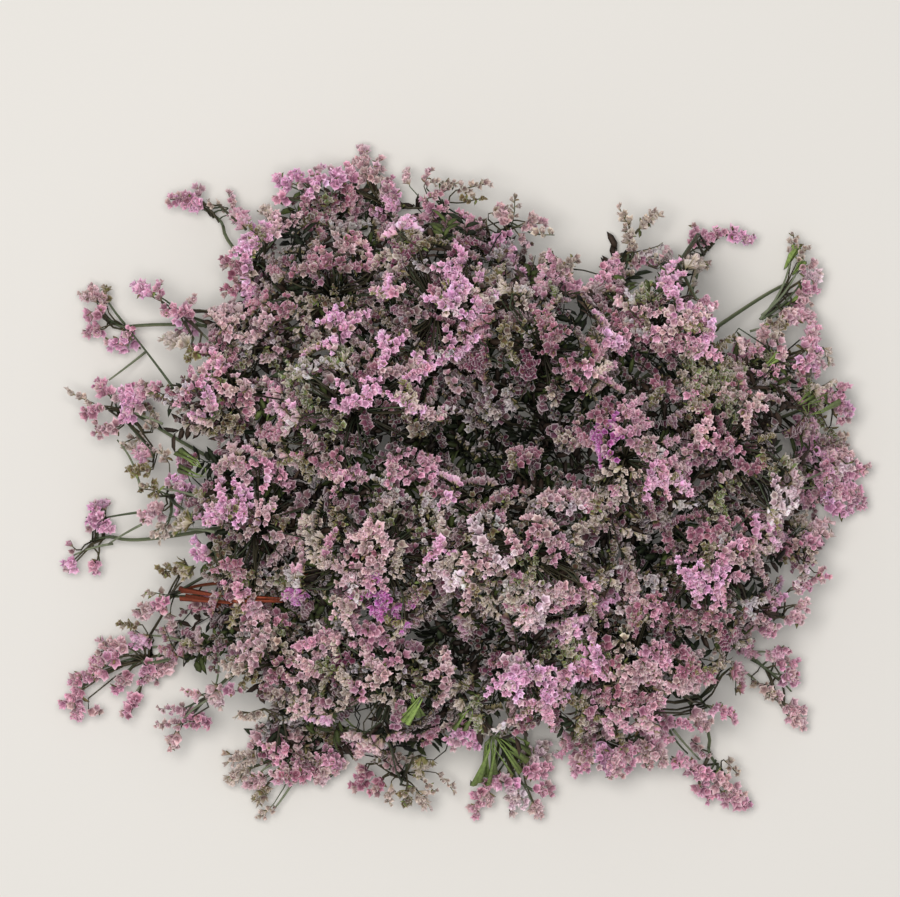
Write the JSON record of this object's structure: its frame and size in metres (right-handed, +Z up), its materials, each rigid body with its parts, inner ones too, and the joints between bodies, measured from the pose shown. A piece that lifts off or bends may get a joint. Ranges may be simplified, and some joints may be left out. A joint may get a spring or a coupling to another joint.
{
  "type": "bunch of dried statice",
  "caption": "Loose low bunch of dried statice, cut stems together in the middle and papery flower heads fanned out into a wide dome, for dry arrangements.",
  "frame": {"origin": "on the surface that the bunch rests on, under the middle of its outline seen from above", "axes": "+X to the right and +Y to the top of the bunch as seen from above, +Z up, away from the surface"},
  "size_m": [0.407, 0.3328, 0.134],
  "materials": {
    "stem_green": "dry, dull green to olive stem with fine lengthwise ribs",
    "stem_rust": "dry stem withered to rust red, dull",
    "bloom_lilac": "papery pleated florets, lilac pink with pale rims and darker throats",
    "bloom_dusky": "papery pleated florets, dusky pink with cream bracts",
    "bloom_tan": "withered papery florets, tan and cream with a little pink"
  },
  "bodies": {
    "root": {"outer_stem_01": "stem_green", "outer_bloom_01": "bloom_lilac", "outer_bloom_02": "bloom_lilac", "outer_bloom_03": "bloom_lilac", "outer_stem_02": "stem_green", "outer_bloom_04": "bloom_lilac", "outer_bloom_05": "bloom_lilac", "outer_bloom_06": "bloom_tan", "outer_stem_03": "stem_green", "outer_bloom_07": "bloom_dusky", "outer_bloom_08": "bloom_dusky", "outer_bloom_09": "bloom_dusky", "outer_stem_04": "stem_green", "outer_bloom_10": "bloom_dusky", "outer_bloom_11": "bloom_dusky", "outer_bloom_12": "bloom_dusky", "outer_stem_05": "stem_green", "outer_bloom_13": "bloom_dusky", "outer_bloom_14": "bloom_dusky", "outer_bloom_15": "bloom_dusky", "outer_stem_06": "stem_green", "outer_bloom_16": "bloom_dusky", "outer_bloom_17": "bloom_dusky", "outer_bloom_18": "bloom_lilac", "outer_stem_07": "stem_green", "outer_bloom_19": "bloom_tan", "outer_bloom_20": "bloom_lilac", "outer_bloom_21": "bloom_tan", "outer_stem_08": "stem_rust", "outer_bloom_22": "bloom_lilac", "outer_bloom_23": "bloom_lilac", "outer_bloom_24": "bloom_lilac", "outer_stem_09": "stem_green", "outer_bloom_25": "bloom_lilac", "outer_bloom_26": "bloom_lilac", "outer_bloom_27": "bloom_lilac", "outer_stem_10": "stem_green", "outer_bloom_28": "bloom_lilac", "outer_bloom_29": "bloom_lilac", "outer_bloom_30": "bloom_lilac", "outer_bloom_31": "bloom_lilac", "inner_stem_01": "stem_green", "inner_bloom_01": "bloom_lilac", "inner_bloom_02": "bloom_lilac", "inner_bloom_03": "bloom_lilac", "inner_bloom_04": "bloom_lilac", "inner_bloom_05": "bloom_lilac", "inner_stem_02": "stem_green", "inner_bloom_06": "bloom_dusky", "inner_bloom_07": "bloom_dusky", "inner_bloom_08": "bloom_lilac", "inner_bloom_09": "bloom_lilac", "inner_bloom_10": "bloom_dusky", "inner_stem_03": "stem_green", "inner_bloom_11": "bloom_lilac", "inner_bloom_12": "bloom_tan", "inner_bloom_13": "bloom_lilac", "inner_bloom_14": "bloom_dusky", "inner_bloom_15": "bloom_lilac", "inner_bloom_16": "bloom_dusky"}
  },
  "joints": []
}
